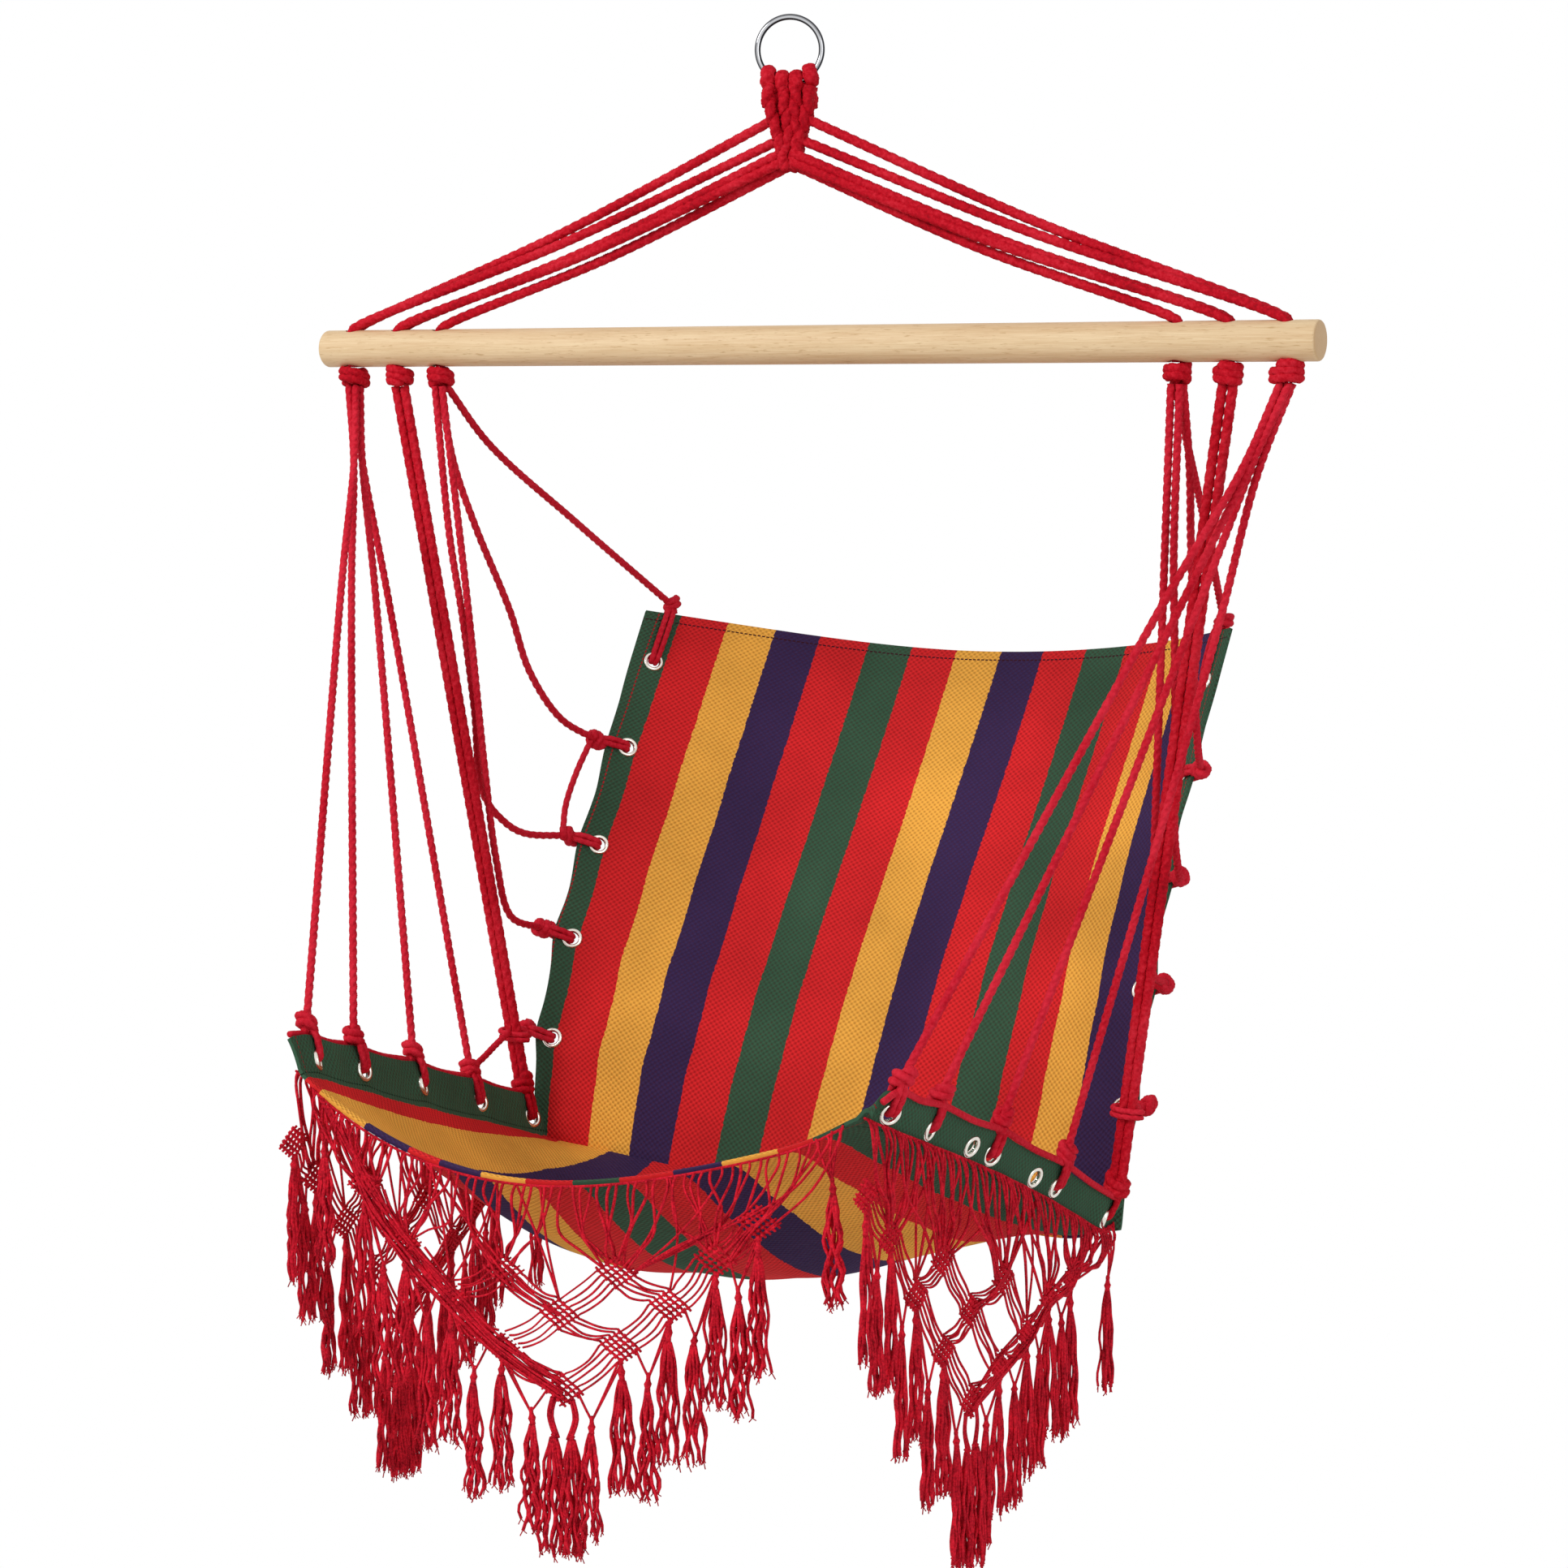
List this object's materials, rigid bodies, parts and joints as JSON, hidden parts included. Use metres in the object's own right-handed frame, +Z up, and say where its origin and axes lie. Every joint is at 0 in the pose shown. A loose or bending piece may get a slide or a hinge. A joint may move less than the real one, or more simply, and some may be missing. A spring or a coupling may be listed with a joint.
{
  "type": "hammock chair",
  "caption": "Hanging hammock chair: steel ring, rope hanger and wooden spreader bar carry a striped fabric seat and back laced to cords, with knotted tassel fringe.",
  "frame": {"origin": "The inside of the hanging ring's top, the point that bears on a hook, on the middle plane of the spreader bar.", "axes": "+X runs along the spreader bar to the sitter's left hand, the viewer's right from the front; +Y points to the back of the chair; +Z is up. The chair hangs down from the origin."},
  "size_m": [1, 0.8076, 1.2904],
  "materials": {
    "ring": "bright plated round wire",
    "eyelet": "bright nickel plated",
    "bar": "plain sanded pale hardwood",
    "canvas": "coarse plain weave in red, orange, purple and green stripes",
    "fringe": "matte cotton string",
    "rope": "matte laid rope"
  },
  "bodies": {
    "ring": {"hanging_ring": "ring"},
    "ring_loops": {"ring_loops": "rope"},
    "hanger": {"hanger_knot": "rope", "inner_rope_left": "rope", "inner_rope_right": "rope", "middle_rope_left": "rope", "middle_rope_right": "rope", "outer_rope_left": "rope", "outer_rope_right": "rope", "spreader_bar": "bar", "stopper_knot_inner_left": "rope", "stopper_knot_inner_right": "rope", "stopper_knot_middle_left": "rope", "stopper_knot_middle_right": "rope", "stopper_knot_outer_left": "rope", "stopper_knot_outer_right": "rope"},
    "seat": {"back_cord_1_left": "rope", "back_cord_1_right": "rope", "back_cord_2_left": "rope", "back_cord_2_right": "rope", "back_cord_3_left": "rope", "back_cord_3_right": "rope", "back_cord_4_left": "rope", "back_cord_4_right": "rope", "back_eyelet_1_left": "eyelet", "back_eyelet_1_right": "eyelet", "back_eyelet_2_left": "eyelet", "back_eyelet_2_right": "eyelet", "back_eyelet_3_left": "eyelet", "back_eyelet_3_right": "eyelet", "back_eyelet_4_left": "eyelet", "back_eyelet_4_right": "eyelet", "back_panel": "canvas", "back_tie_left": "rope", "back_tie_right": "rope", "edge_rope_left": "rope", "edge_rope_right": "rope", "front_fringe": "fringe", "rear_rope_left": "rope", "rear_rope_right": "rope", "seat_cord_1_left": "rope", "seat_cord_1_right": "rope", "seat_cord_2_left": "rope", "seat_cord_2_right": "rope", "seat_cord_3_left": "rope", "seat_cord_3_right": "rope", "seat_cord_4_left": "rope", "seat_cord_4_right": "rope", "seat_eyelet_1_left": "eyelet", "seat_eyelet_1_right": "eyelet", "seat_eyelet_2_left": "eyelet", "seat_eyelet_2_right": "eyelet", "seat_eyelet_3_left": "eyelet", "seat_eyelet_3_right": "eyelet", "seat_eyelet_4_left": "eyelet", "seat_eyelet_4_right": "eyelet", "seat_panel": "canvas", "side_fringe_left": "fringe", "side_fringe_right": "fringe"}
  },
  "joints": [
    {"name": "loops_slide_round_ring", "type": "hinge", "parent": "ring", "child": "ring_loops", "pos_m": [0, 0, -0.0261], "axis": [-0.342, 0.9397, 0], "range_deg": [-25, 25]},
    {"name": "hanger_swing", "type": "hinge", "parent": "ring_loops", "child": "hanger", "pos_m": [0, 0, -0.0549], "axis": [0.9397, 0.342, 0], "range_deg": [-30, 30]},
    {"name": "seat_swing", "type": "hinge", "parent": "hanger", "child": "seat", "pos_m": [0, 0, -0.3154], "axis": [1, 0, 0], "range_deg": [-25, 25]}
  ]
}
